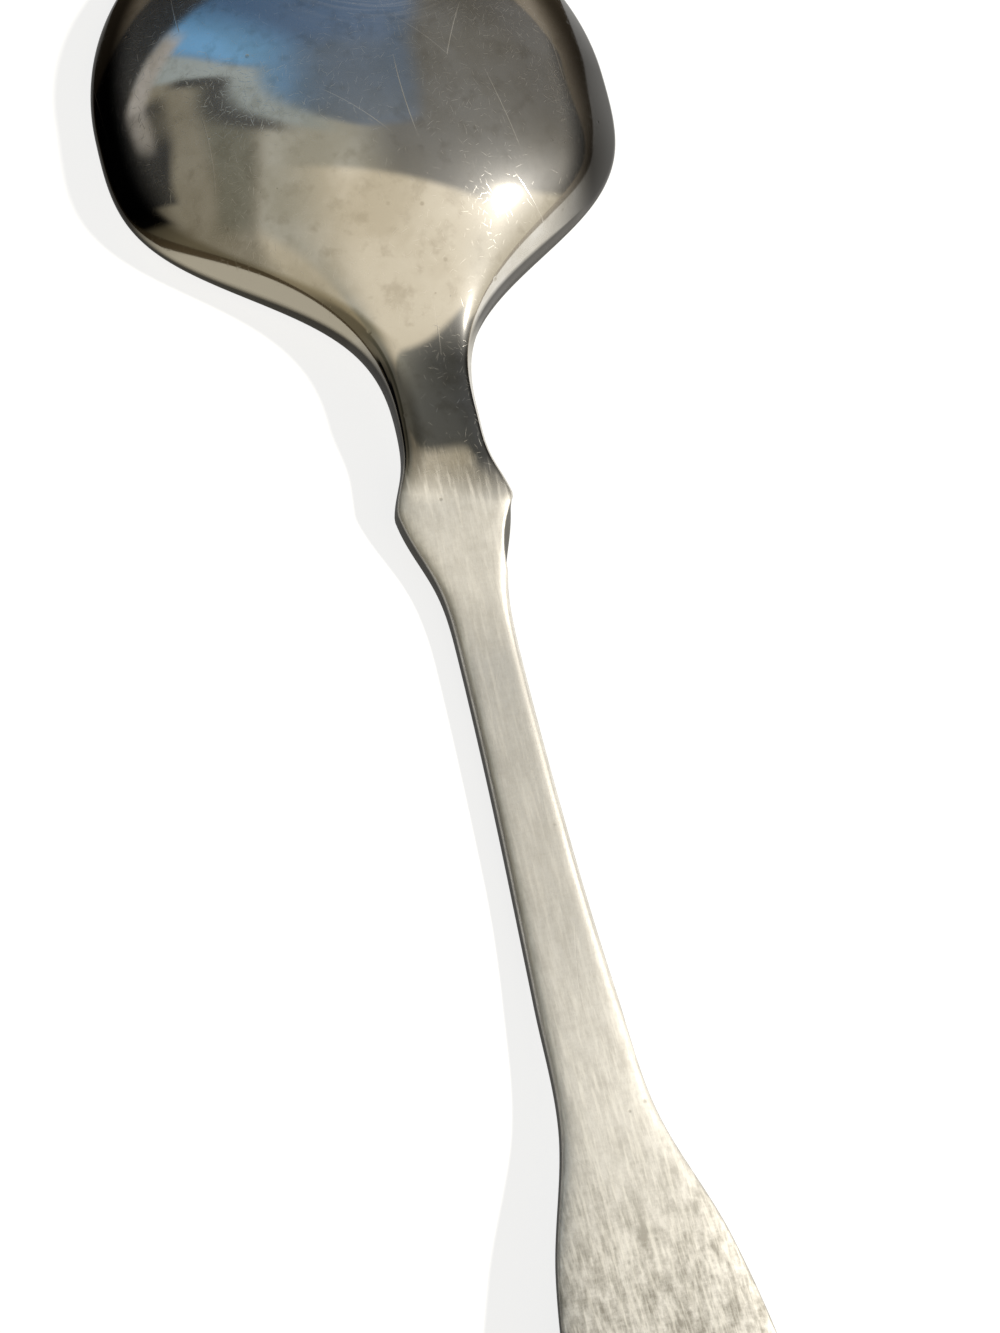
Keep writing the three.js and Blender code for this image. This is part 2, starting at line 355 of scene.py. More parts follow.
# nodes that sweep the section of a struck spoon along its stations
def sweepTree():
    tree = bpy.data.node_groups.new("struck section sweep", "GeometryNodeTree")
    face = tree.interface
    face.new_socket("Spine", in_out="INPUT", socket_type="NodeSocketGeometry")
    for name in ("Back Steps", "Round Steps", "Wall Steps", "Land Steps", "Hollow Steps"):
        face.new_socket(name, in_out="INPUT", socket_type="NodeSocketInt")
    for name in ("Back Round", "Front Round", "Rim Land", "Bowl Flatness", "Lip Softness"):
        face.new_socket(name, in_out="INPUT", socket_type="NodeSocketFloat")
    face.new_socket("Steel", in_out="INPUT", socket_type="NodeSocketMaterial")
    face.new_socket("Piece", in_out="OUTPUT", socket_type="NodeSocketGeometry")
    given = addNode(tree, "NodeGroupInput").outputs

    # the ring is counted from the middle of the back, down one side, across the front and up the other side
    ends = [given["Back Steps"]]
    for name in ("Round Steps", "Wall Steps", "Round Steps", "Land Steps", "Hollow Steps"):
        ends.append(calc(tree, "ADD", ends[-1], given[name]))
    halfRing = ends[-1]

    size = addNode(tree, "GeometryNodeAttributeDomainSize")
    tree.links.new(given["Spine"], size.inputs[0])
    stations = size.outputs["Point Count"]
    grid = addNode(tree, "GeometryNodeMeshGrid")
    tree.links.new(calc(tree, "MULTIPLY_ADD", halfRing, 2, 1), grid.inputs["Vertices X"])
    tree.links.new(stations, grid.inputs["Vertices Y"])
    index = addNode(tree, "GeometryNodeInputIndex").outputs[0]
    ringIndex = calc(tree, "FLOOR", calc(tree, "DIVIDE", calc(tree, "ADD", index, 0.5), stations))
    station = minus(tree, index, product(tree, ringIndex, stations))
    fromFront = minus(tree, ringIndex, halfRing)
    side = calc(tree, "SIGN", fromFront)
    count = minus(tree, halfRing, calc(tree, "ABSOLUTE", fromFront))

    def sampled(name):
        attribute = addNode(tree, "GeometryNodeInputNamedAttribute", data_type="FLOAT_VECTOR")
        attribute.inputs["Name"].default_value = name
        node = addNode(tree, "GeometryNodeSampleIndex", data_type="FLOAT_VECTOR", domain="POINT", clamp=True)
        tree.links.new(given["Spine"], node.inputs["Geometry"])
        tree.links.new(attribute.outputs["Attribute"], node.inputs["Value"])
        tree.links.new(station, node.inputs["Index"])
        parts = addNode(tree, "ShaderNodeSeparateXYZ")
        tree.links.new(node.outputs["Value"], parts.inputs[0])
        return parts.outputs

    outlineX, outlineY, _ = sampled("outline")
    outwardX, outwardY, _ = sampled("outward")
    frontZ, leftCorner, leftShoulder = sampled("heights")
    flankBevel, rightCorner, rightShoulder = sampled("flank")
    backBase, crown, backHalf = sampled("back")
    hollowDepth, flatness, endDistance = sampled("hollow")

    onBack, onRound, onWall, onFront, onLand, onHollow = [
        ramp(tree, count, start, end) for start, end in zip([0, *ends], ends)]

    # the right side has its own corner heights, because of its leaning flank
    onRight = calc(tree, "GREATER_THAN", side, 0)
    bevel = product(tree, flankBevel, onRight)
    cornerZ = plus(tree, leftCorner, minus(tree, rightCorner, leftCorner), onRight)
    shoulderZ = plus(tree, leftShoulder, minus(tree, rightShoulder, leftShoulder), onRight)

    # how far the ring lies inside the outline
    roundLeft = calc(tree, "POWER", rest(tree, onRound), 2)
    frontLeft = calc(tree, "POWER", rest(tree, onFront), 2)
    inset = product(tree, given["Back Round"], roundLeft)
    inset = plus(tree, inset, bevel, rest(tree, onWall))
    inset = plus(tree, inset, given["Front Round"], calc(tree, "POWER", onFront, 2))
    landReach = minus(tree, given["Rim Land"], given["Front Round"])
    inset = plus(tree, inset, landReach, onLand)
    drawnIn = minus(tree, outlineX, product(tree, inset, outwardX))
    edgeX = calc(tree, "MAXIMUM", drawnIn, 0)
    y = minus(tree, outlineY, product(tree, inset, outwardY))
    acrossBack = calc(tree, "SINE", product(tree, onBack, math.pi / 2))
    acrossHollow = calc(tree, "COSINE", product(tree, onHollow, math.pi / 2))
    reach = product(tree, edgeX, product(tree, acrossBack, acrossHollow))
    x = product(tree, reach, side)

    def arch(share, flat):
        plain = calc(tree, "POWER", share, spoon["archPower"])
        squared = calc(tree, "POWER", share, spoon["flatPower"])
        fall = plus(tree, plain, minus(tree, squared, plain), flat)
        return calc(tree, "MAXIMUM", rest(tree, fall), 0)

    # heights on the back, down the rounded side, and in the front with its hollow
    backShare = calc(tree, "MINIMUM", calc(tree, "DIVIDE", reach, backHalf), 1)
    backZ = plus(tree, backBase, crown, arch(backShare, flatness))
    sideZ = plus(tree, cornerZ, minus(tree, shoulderZ, cornerZ), roundLeft)
    roundDrop = product(tree, given["Back Round"], calc(tree, "POWER", onRound, 2))
    sideZ = minus(tree, sideZ, roundDrop)
    wallTop = minus(tree, cornerZ, given["Back Round"])
    wallDrop = minus(tree, wallTop, calc(tree, "ADD", frontZ, given["Front Round"]))
    sideZ = minus(tree, sideZ, product(tree, wallDrop, onWall))
    frontDrop = product(tree, given["Front Round"], rest(tree, frontLeft))
    sideZ = minus(tree, sideZ, frontDrop)
    hollowShape = calc(tree, "POWER", arch(acrossHollow, given["Bowl Flatness"]), given["Lip Softness"])
    hollowZ = plus(tree, frontZ, hollowDepth, hollowShape)

    def choose(test, no, yes):
        node = addNode(tree, "GeometryNodeSwitch", input_type="FLOAT")
        tree.links.new(calc(tree, "GREATER_THAN", test, 0), node.inputs["Switch"])
        tree.links.new(no, node.inputs["False"])
        tree.links.new(yes, node.inputs["True"])
        return node.outputs[0]

    z = choose(onLand, choose(onRound, backZ, sideZ), hollowZ)
    place = addNode(tree, "ShaderNodeCombineXYZ")
    for socket, value in zip(place.inputs, (x, y, z)):
        tree.links.new(value, socket)

    # one step on the mesh, with its inputs given by name
    def worked(kind, mesh, **values):
        node = addNode(tree, "GeometryNode" + kind)
        tree.links.new(mesh, node.inputs["Geometry"])
        for name, value in values.items():
            feed(tree, node.inputs[name], value)
        return node.outputs[0]

    # distance from the back's edge, large on the front, and share of the sheared side, kept for the steel
    fromEdge = plus(tree, minus(tree, edgeX, reach), onFront, sections["frontFar"] * mm)
    fromEdge = calc(tree, "MINIMUM", fromEdge, endDistance)
    onSide = product(tree, ramp(tree, onRound, *sections["sideFade"]), rest(tree, onFront))
    piece = worked("SetPosition", grid.outputs["Mesh"], Position=place.outputs[0])
    piece = worked("StoreNamedAttribute", piece, Name="edgeDistance", Value=fromEdge)
    piece = worked("StoreNamedAttribute", piece, Name="sideShare", Value=onSide)
    piece = worked("MergeByDistance", piece, Distance=sections["weld"] * mm)
    piece = worked("RealizeInstances", worked("SetShadeSmooth", piece))
    piece = worked("SetMaterial", piece, Material=given["Steel"])
    tree.links.new(piece, addNode(tree, "NodeGroupOutput").inputs["Piece"])
    return tree


# one piece swept from its spine to a plain mesh
def sweptPiece(name, tree, start, end, steel):
    spine = bpy.data.objects.new(name + "_spine", spineMesh(name + "_spine", start, end))
    bpy.context.scene.collection.objects.link(spine)
    modifier = spine.modifiers.new("sweep", "NODES")
    values = {
        "Back Steps": sections["backSteps"], "Round Steps": sections["roundSteps"],
        "Wall Steps": sections["wallSteps"], "Land Steps": sections["landSteps"],
        "Hollow Steps": sections["hollowSteps"],
        "Back Round": sections["backRound"] * mm, "Front Round": sections["frontRound"] * mm,
        "Rim Land": spoon["rimLand"] * mm, "Bowl Flatness": spoon["bowlFlatness"],
        "Lip Softness": sections["lipSoftness"], "Steel": steel,
    }
    modifier.node_group = tree
    for item in tree.interface.items_tree:
        if item.item_type == "SOCKET" and item.in_out == "INPUT" and item.name in values:
            modifier[item.identifier] = values[item.name]
    bpy.context.view_layer.update()
    graph = bpy.context.evaluated_depsgraph_get()
    mesh = bpy.data.meshes.new_from_object(spine.evaluated_get(graph))
    mesh.name = name
    bpy.data.objects.remove(spine)
    piece = bpy.data.objects.new(name, mesh)
    bpy.context.scene.collection.objects.link(piece)
    return piece


# the flat section across the neck is closed, and the skin's shading runs on across it
def closeAtNeck(pieces):
    near = 1e-6

    def neckPoints(mesh):
        rim = [v for v in mesh.vertices if abs(v.co.y - yAt(neckAt)) < near]
        return {tuple(round(c * 10 / near) for c in v.co): v for v in rim}

    rims = [neckPoints(piece.data) for piece in pieces]
    shared = {}
    for key in rims[0]:
        if key in rims[1]:
            shared[key] = (rims[0][key].normal + rims[1][key].normal).normalized()
    print("points shared across the neck:", len(shared), "of", len(rims[0]))
    for piece, rim in zip(pieces, rims):
        mesh = piece.data
        skin = [v.normal.copy() for v in mesh.vertices]
        for key, v in rim.items():
            if key in shared:
                skin[v.index] = shared[key]
        work = bmesh.new()
        work.from_mesh(mesh)
        openEdges = [edge for edge in work.edges if edge.is_boundary]
        caps = bmesh.ops.holes_fill(work, edges=openEdges, sides=0)["faces"]
        bmesh.ops.recalc_face_normals(work, faces=caps)
        towards = 1 if piece is pieces[1] else -1
        for cap in caps:
            if cap.normal.y * towards < 0:
                cap.normal_flip()
            cap.smooth = False
        capCount = len(caps)
        work.to_mesh(mesh)
        work.free()
        loopNormals = [None] * len(mesh.loops)
        firstCap = len(mesh.polygons) - capCount
        for polygon in mesh.polygons:
            for loop in polygon.loop_indices:
                flat = polygon.index >= firstCap
                loopNormals[loop] = polygon.normal.copy() if flat else skin[mesh.loops[loop].vertex_index]
        mesh.normals_split_custom_set(loopNormals)
        mesh.update()


print("section sweep ready")


def shaderGroup(name, vectors, values, outputs):
    tree = bpy.data.node_groups.new(name, "ShaderNodeTree")
    sockets = [(socketName, "INPUT", "NodeSocketVector") for socketName in vectors]
    sockets += [(socketName, "INPUT", "NodeSocketFloat") for socketName in values]
    sockets += [(socketName, "OUTPUT", "NodeSocketFloat") for socketName in outputs]
    for socketName, way, socketType in sockets:
        tree.interface.new_socket(socketName, in_out=way, socket_type=socketType)
    return tree, addNode(tree, "NodeGroupInput").outputs, addNode(tree, "NodeGroupOutput").inputs


def splitVector(tree, vector):
    node = addNode(tree, "ShaderNodeSeparateXYZ")
    tree.links.new(vector, node.inputs[0])
    return node.outputs


def scaledVector(tree, vector, scale):
    node = addNode(tree, "ShaderNodeVectorMath", operation="SCALE")
    tree.links.new(vector, node.inputs[0])
    feed(tree, node.inputs["Scale"], scale)
    return node.outputs[0]


def vectorPair(tree, operation, a, b):
    node = addNode(tree, "ShaderNodeVectorMath", operation=operation)
    tree.links.new(a, node.inputs[0])
    tree.links.new(b, node.inputs[1])
    return node.outputs[0]


def stretched(tree, vector, turn, scale):
    node = addNode(tree, "ShaderNodeMapping")
    tree.links.new(vector, node.inputs["Vector"])
    node.inputs["Rotation"].default_value = (0, 0, turn)
    node.inputs["Scale"].default_value = scale
    return node.outputs[0]


def noise(tree, vector, scale, detail=2.0, rough=0.5):
    node = addNode(tree, "ShaderNodeTexNoise")
    tree.links.new(vector, node.inputs["Vector"])
    feed(tree, node.inputs["Scale"], scale)
    node.inputs["Detail"].default_value = detail
    node.inputs["Roughness"].default_value = rough
    return node.outputs["Fac"]


# thin scratches, one in some of the cells of a plan pattern, each turned its own way and a little bent
hairlineShape = {"bend": 0.15, "ends": (0.2, 0.6), "faintest": 0.4}


def hairlineGroup():
    tree, given, out = shaderGroup(
        "hairline scratches", ["Position", "Shift"], ["Cells", "Width", "Amount", "Turn", "Spread"], ["Mask"])
    shifted = vectorPair(tree, "ADD", scaledVector(tree, given["Position"], given["Cells"]), given["Shift"])
    cells = addNode(tree, "ShaderNodeTexVoronoi", feature="F1", voronoi_dimensions="2D")
    cells.inputs["Scale"].default_value = 1
    tree.links.new(shifted, cells.inputs["Vector"])
    x, y, _ = splitVector(tree, vectorPair(tree, "SUBTRACT", shifted, cells.outputs["Position"]))
    turnChance, amountChance, bendChance = splitVector(tree, cells.outputs["Color"])
    angle = plus(tree, given["Turn"], minus(tree, turnChance, 0.5), given["Spread"])
    cosine = calc(tree, "COSINE", angle)
    sine = calc(tree, "SINE", angle)
    along = calc(tree, "ADD", product(tree, x, cosine), product(tree, y, sine))
    across = minus(tree, product(tree, y, cosine), product(tree, x, sine))
    bend = plus(tree, -hairlineShape["bend"], bendChance, 2 * hairlineShape["bend"])
    bent = plus(tree, across, calc(tree, "POWER", along, 2), bend)
    line = rest(tree, ramp(tree, calc(tree, "ABSOLUTE", bent), 0, given["Width"]))
    ends = rest(tree, ramp(tree, calc(tree, "ABSOLUTE", along), *hairlineShape["ends"], True))
    chosen = calc(tree, "LESS_THAN", amountChance, given["Amount"])
    strength = plus(tree, hairlineShape["faintest"], bendChance, 1 - hairlineShape["faintest"])
    tree.links.new(product(tree, line, ends, chosen, strength), out["Mask"])
    return tree


# small pits and specks, only some of the cells having one
speckShape = {"smallest": 0.35, "border": (0.45, 1.0)}


def speckGroup():
    tree, given, out = shaderGroup("pits and specks", ["Position"], ["Cells", "Amount", "Size"], ["Mask"])
    cells = addNode(tree, "ShaderNodeTexVoronoi", feature="F1")
    tree.links.new(given["Position"], cells.inputs["Vector"])
    tree.links.new(given["Cells"], cells.inputs["Scale"])
    amountChance, sizeChance, _ = splitVector(tree, cells.outputs["Color"])
    chosen = calc(tree, "LESS_THAN", amountChance, given["Amount"])
    reach = product(tree, given["Size"], calc(tree, "ADD", sizeChance, speckShape["smallest"]))
    distance = calc(tree, "DIVIDE", cells.outputs["Distance"], reach)
    spot = rest(tree, ramp(tree, distance, *speckShape["border"]))
    tree.links.new(product(tree, spot, chosen), out["Mask"])
    return tree


# cloudy smears and the small darker stains among them
smearShape = {"smear": (0.40, 0.62), "stain": (0.50, 0.74), "stainFineness": 6}


def smearGroup():
    tree, given, out = shaderGroup("smears and stains", ["Position"], ["Scale"], ["Smear", "Stain"])
    broad = noise(tree, given["Position"], given["Scale"], detail=4.0, rough=0.6)
    tree.links.new(ramp(tree, broad, *smearShape["smear"], True), out["Smear"])
    finer = product(tree, given["Scale"], smearShape["stainFineness"])
    spots = noise(tree, given["Position"], finer, detail=3.0, rough=0.6)
    tree.links.new(ramp(tree, spots, *smearShape["stain"], True), out["Stain"])
    return tree


# rings left by a polishing wheel round a centre, coming and going as they turn
wheelShape = {"changes": 1.6, "rings": (0.42, 0.66)}


def wheelGroup():
    tree, given, out = shaderGroup(
        "wheel rings", ["Position", "Centre"], ["Rings", "Inner", "Outer"], ["Mask"])
    x, y, _ = splitVector(tree, vectorPair(tree, "SUBTRACT", given["Position"], given["Centre"]))
    radius = calc(tree, "SQRT", calc(tree, "ADD", calc(tree, "POWER", x, 2), calc(tree, "POWER", y, 2)))
    around = addNode(tree, "ShaderNodeCombineXYZ")
    tree.links.new(product(tree, radius, given["Rings"]), around.inputs[0])
    tree.links.new(product(tree, calc(tree, "ARCTAN2", y, x), wheelShape["changes"]), around.inputs[1])
    rings = ramp(tree, noise(tree, around.outputs[0], 1.0, rough=0.6), *wheelShape["rings"], True)
    fadeIn = ramp(tree, radius, 0, given["Inner"], True)
    fadeOut = rest(tree, ramp(tree, radius, given["Inner"], given["Outer"], True))
    tree.links.new(product(tree, rings, fadeIn, fadeOut), out["Mask"])
    return tree


# tumbled satin: a fine mottle of short strokes along and across, with longer streaks
tumbleShape = {
    "turn": 0.1, "along": (1.3, 0.32, 1.0), "across": (0.5, 1.1, 1.0), "blotch": (0.30, 0.15, 1.0),
    "streak": (1.6, 0.1, 1.0), "alongShare": 0.6, "blotchShare": 0.4,
    "mottleRange": (0.41, 0.59), "streakRange": (0.44, 0.70),
}


def tumbleGroup():
    tree, given, out = shaderGroup("tumbled satin", ["Position"], ["Scale"], ["Height", "Mottle", "Streak"])
    scaled = scaledVector(tree, given["Position"], given["Scale"])

    def strokes(kind, detail, rough):
        turned = stretched(tree, scaled, tumbleShape["turn"], tumbleShape[kind])
        return noise(tree, turned, 1.0, detail, rough)

    across = product(tree, strokes("across", 5.0, 0.72), 1 - tumbleShape["alongShare"])
    height = plus(tree, across, strokes("along", 5.0, 0.72), tumbleShape["alongShare"])
    tree.links.new(height, out["Height"])
    fine = product(tree, height, 1 - tumbleShape["blotchShare"])
    pattern = plus(tree, fine, strokes("blotch", 3.0, 0.6), tumbleShape["blotchShare"])
    tree.links.new(ramp(tree, pattern, *tumbleShape["mottleRange"]), out["Mottle"])
    streaks = strokes("streak", 2.0, 0.6)
    tree.links.new(ramp(tree, streaks, *tumbleShape["streakRange"], True), out["Streak"])
    return tree


def placeGroup(tree, group, **values):
    node = addNode(tree, "ShaderNodeGroup", node_tree=group)
    for name, value in values.items():
        feed(tree, node.inputs[name], value)
    return node.outputs


def mixColour(tree, factor, a, b):
    node = addNode(tree, "ShaderNodeMix", data_type="RGBA")
    feed(tree, node.inputs[0], factor)
    feed(tree, node.inputs[6], a)
    feed(tree, node.inputs[7], b)
    return node.outputs[2]


def between(tree, factor, a, b):
    node = addNode(tree, "ShaderNodeMix", data_type="FLOAT")
    for socket, value in zip(node.inputs[:1] + node.inputs[2:4], (factor, a, b)):
        feed(tree, socket, value)
    return node.outputs[0]


hairlines = hairlineGroup()
specks = speckGroup()
smears = smearGroup()
wheelRings = wheelGroup()
tumbled = tumbleGroup()

# wear of the polished steel: cells, waves and rings to the metre, widths and sizes as shares of a cell,
# turns in radians, heights and the wheel's place in metres
marks = {
    "drift": 95.0, "driftRange": (0.36, 0.68),
    "fine": {"Cells": 1500.0, "Width": 0.05, "Turn": 0.4, "Spread": 3.1},
    "cross": {"Cells": 820.0, "Width": 0.03, "Turn": 1.7, "Spread": 3.1, "Shift": (7.3, 2.9, 0)},
    "long": {"Cells": 95.0, "Width": 0.007, "Turn": 1.9, "Spread": 1.6,
             "Shift": (3.1, 8.4, 0), "Amount": 0.5},
    "specks": {"Cells": 520.0, "Amount": 0.17, "Size": 0.15}, "smears": {"Scale": 70.0},
    "wheel": {"Centre": (0.003, 0.087, 0), "Rings": 2400.0, "Inner": 0.006, "Outer": 0.017},
    "waves": 120.0, "waveHeight": 0.000012, "scratchRise": -0.0000014, "longRise": -0.000006,
    "speckRise": -0.00001, "wheelRise": 0.0000025,
}
# finish of the bowl and neck, with the places in mm before the neck where its part starts and is full
polish = {
    "clean": (0.63, 0.615, 0.585, 1), "film": (0.50, 0.475, 0.42, 1), "stain": (0.33, 0.30, 0.245, 1),
    "speckStain": 0.6, "smearStain": 0.42,
    "roughness": 0.064, "smearRoughness": 0.02, "scratchRoughness": 0.2,
    "metallic": 0.89, "neckMetallic": 0.985, "wheelHaze": 0.13, "scratchHaze": 0.15, "longHaze": 0.24,
    "haze": 0.44, "hazeDensity": 1.65, "leastHaze": 0.7, "specular": 0.0, "neck": (11, 5),
}
# painted dark reflection towards the rim, standing in for the dark ground the rim mirrors, light tan at the
# heel's left: how far from the edge and from the middle it starts and is full, in mm
rimPaintedReflection = {
    "colour": (0.02, 0.018, 0.015, 1), "heelReflectionColour": (0.33, 0.30, 0.235, 1),
    "leftReach": (4.4, 1.4), "rightReach": (9.5, 2.6), "heelReach": (3.0, 1.9), "neckReach": (2.6, 1.0),
    "left": (-5, -19), "right": (15, 25), "heel": (60, 53), "neckShare": 0.8,
    "lineReach": (0.6, 0.15), "lineShare": 0.9,
}
# where polish turns to satin: the start as a share of the way to the points, lengths in mm
fade = {"start": 0.42, "beforePoints": 0.2, "streak": 0.8, "slant": 0.3, "power": 1.3}
# finish of the handle from the points on, places and reaches in mm, grain in metres
satin = {
    "clean": (0.73, 0.712, 0.672, 1), "dark": (0.27, 0.255, 0.22, 1), "light": (0.88, 0.86, 0.80, 1),
    "mottle": 0.36, "fiddleMottle": 0.5, "fiddlePast": 5, "streak": 0.14, "endStreak": 0.3, "speck": 0.5,
    "roughness": 0.44, "endRoughness": 0.60, "mottleRoughness": 0.06, "metallic": 0.82, "endMetallic": 0.71,
    "shoulderHaze": 0.2, "shoulderPast": 2, "shoulderReach": (12, 4), "streakHaze": 0.14,
    "wornEdge": 0.6, "wornSmoothness": 0.1,
    "grainHeight": 0.00002, "endGrainHeight": 0.00003, "scale": 1700.0,
}
# sheared sides, dark with scale, and partly a painted dark reflection of the ground beside them
darkSideScaleAndReflection = {"colour": (0.03, 0.028, 0.024, 1), "metallic": 0.3, "roughness": 0.4, "share": 0.92}


# the steel of both pieces: polished over the bowl and the neck, tumbled satin from the points on
def spoonSteel(name):
    material = bpy.data.materials.new(name)
    material.use_nodes = True
    tree = material.node_tree
    tree.nodes.clear()
    shader = addNode(tree, "ShaderNodeBsdfPrincipled")
    out = addNode(tree, "ShaderNodeOutputMaterial")
    tree.links.new(shader.outputs[0], out.inputs["Surface"])
    position = addNode(tree, "ShaderNodeTexCoord").outputs["Object"]
    x, y, _ = splitVector(tree, position)
    edge = addNode(tree, "ShaderNodeAttribute", attribute_name="edgeDistance").outputs["Fac"]
    side = addNode(tree, "ShaderNodeAttribute", attribute_name="sideShare").outputs["Fac"]
    # share of the dark sides: partly dark scale on the steel, partly painted dark reflection of the ground
    # beside them
    scale = product(tree, side, darkSideScaleAndReflection["share"])

    # marks
    drift = ramp(tree, noise(tree, position, marks["drift"], detail=3.0), *marks["driftRange"])
    fine = placeGroup(tree, hairlines, Position=position, Amount=drift, **marks["fine"])["Mask"]
    cross = placeGroup(tree, hairlines, Position=position, Amount=drift, **marks["cross"])["Mask"]
    long = placeGroup(tree, hairlines, Position=position, **marks["long"])["Mask"]
    scratch = largest(tree, fine, cross)
    speck = placeGroup(tree, specks, Position=position, **marks["specks"])["Mask"]
    film = placeGroup(tree, smears, Position=position, **marks["smears"])
    wheel = placeGroup(tree, wheelRings, Position=position, **marks["wheel"])["Mask"]
    tumble = placeGroup(tree, tumbled, Position=position, Scale=satin["scale"])
    edgeWear = rest(tree, ramp(tree, edge, 0.0, satin["wornEdge"] * mm, True))

    # polish fades into satin in streaks between the neck and the points
    fadeStart = yAt(neckAt + spoon["neckToPip"] * fade["start"])
    fadeEnd = yAt(pipAt - fade["beforePoints"])
    uneven = plus(tree, plus(tree, y, x, fade["slant"]), tumble["Streak"], -fade["streak"] * mm)
    satinShare = calc(tree, "POWER", ramp(tree, uneven, fadeStart, fadeEnd), fade["power"])
    neckShare = ramp(tree, y, *[yAt(neckAt - before) for before in polish["neck"]], True)
    onFlare = ramp(tree, y, yAt(flatEndAt), yAt(flareAt), True)
    onFiddle = ramp(tree, y, yAt(flareAt), yAt(fiddleAt + satin["fiddlePast"]), True)
    fromShoulder = calc(tree, "ABSOLUTE", minus(tree, y, yAt(pipAt + satin["shoulderPast"])))
    onShoulder = ramp(tree, fromShoulder, *metres(satin["shoulderReach"]), True)

    # painted reflection towards the bowl's rim at its sides, dark like the ground the rim mirrors: widest on
    # the right, thin and light tan left of the heel, with a dark line at the very edge and a band on the
    # neck's left
    onLeft = calc(tree, "LESS_THAN", x, 0)
    towardsLeft = ramp(tree, x, *metres(rimPaintedReflection["left"]), True)
    towardsRight = ramp(tree, x, *metres(rimPaintedReflection["right"]), True)
    towardsHeel = product(tree, ramp(tree, y, *metres(rimPaintedReflection["heel"]), True), onLeft, rest(tree, neckShare))
    reaches = zip(*[metres(rimPaintedReflection[name]) for name in ("leftReach", "rightReach", "heelReach")])
    rimStart, rimEnd = [between(tree, towardsHeel, between(tree, towardsRight, left, right), heel)
                        for left, right, heel in reaches]
    paintedRimReflection = ramp(tree, edge, rimStart, rimEnd, True)
    paintedRimReflection = product(tree, paintedRimReflection, largest(tree, towardsLeft, towardsRight, towardsHeel))
    paintedRimLine = product(tree, ramp(tree, edge, *metres(rimPaintedReflection["lineReach"])), rimPaintedReflection["lineShare"])
    paintedRimReflection = largest(tree, paintedRimReflection, paintedRimLine)
    paintedNeckReflection = product(tree, ramp(tree, edge, *metres(rimPaintedReflection["neckReach"]), True), onLeft)
    paintedNeckReflection = product(tree, paintedNeckReflection, rest(tree, satinShare), rimPaintedReflection["neckShare"])
    paintedRimReflection = between(tree, neckShare, paintedRimReflection, paintedNeckReflection)

    colour = mixColour(tree, film["Smear"], polish["clean"], polish["film"])
    speckStain = product(tree, speck, polish["speckStain"])
    stained = largest(tree, speckStain, product(tree, film["Stain"], polish["smearStain"]))
    colour = mixColour(tree, stained, colour, polish["stain"])
    mottled = product(tree, tumble["Mottle"], plus(tree, satin["mottle"], onFiddle, satin["fiddleMottle"]))
    satinColour = mixColour(tree, mottled, satin["clean"], satin["dark"])
    streaked = product(tree, tumble["Streak"], plus(tree, satin["streak"], onFlare, satin["endStreak"]))
    satinColour = mixColour(tree, streaked, satinColour, satin["light"])
    satinColour = mixColour(tree, product(tree, speck, satin["speck"]), satinColour, satin["dark"])
    colour = mixColour(tree, satinShare, colour, satinColour)
    # the rim's base colour is painted reflection: near black for the dark ground the rim mirrors, light tan
    # left of the heel
    paintedRimColour = mixColour(tree, towardsHeel, rimPaintedReflection["colour"], rimPaintedReflection["heelReflectionColour"])
    colour = mixColour(tree, paintedRimReflection, colour, paintedRimColour)
    # the sides' dark colour: scale on the steel and painted dark reflection
    colour = mixColour(tree, scale, colour, darkSideScaleAndReflection["colour"])
    tree.links.new(colour, shader.inputs["Base Color"])

    polishRough = plus(tree, polish["roughness"], film["Smear"], polish["smearRoughness"])
    polishRough = plus(tree, polishRough, largest(tree, scratch, long), polish["scratchRoughness"])
    satinRough = between(tree, onFlare, satin["roughness"], satin["endRoughness"])
    satinRough = plus(tree, satinRough, tumble["Mottle"], satin["mottleRoughness"])
    satinRough = plus(tree, satinRough, edgeWear, -satin["wornSmoothness"])
    rough = between(tree, satinShare, polishRough, satinRough)
    tree.links.new(between(tree, scale, rough, darkSideScaleAndReflection["roughness"]), shader.inputs["Roughness"])

    bowlMetal = between(tree, neckShare, polish["metallic"], polish["neckMetallic"])
    bowlMetal = plus(tree, bowlMetal, wheel, -polish["wheelHaze"])
    bowlMetal = plus(tree, bowlMetal, long, -polish["longHaze"])
    bowlMetal = plus(tree, bowlMetal, scratch, -polish["scratchHaze"])
    satinMetal = between(tree, onFlare, satin["metallic"], satin["endMetallic"])
    satinMetal = plus(tree, satinMetal, onShoulder, -satin["shoulderHaze"])
    satinMetal = plus(tree, satinMetal, tumble["Streak"], -satin["streakHaze"])
    # under the painted rim reflection the steel is fully metallic, so its near-black colour reads as a dark
    # reflection
    metal = between(tree, satinShare, between(tree, paintedRimReflection, bowlMetal, 1.0), satinMetal)
    tree.links.new(between(tree, scale, metal, darkSideScaleAndReflection["metallic"]), shader.inputs["Metallic"])
    shader.inputs["Specular IOR Level"].default_value = polish["specular"]

    # a hazy film of fine wear over the bowl
    worn = plus(tree, polish["leastHaze"], film["Smear"], 1 - polish["leastHaze"])
    worn = product(tree, worn, rest(tree, neckShare), rest(tree, paintedRimReflection))
    tree.links.new(worn, shader.inputs["Coat Weight"])
    shader.inputs["Coat Roughness"].default_value = polish["haze"]
    shader.inputs["Coat IOR"].default_value = polish["hazeDensity"]

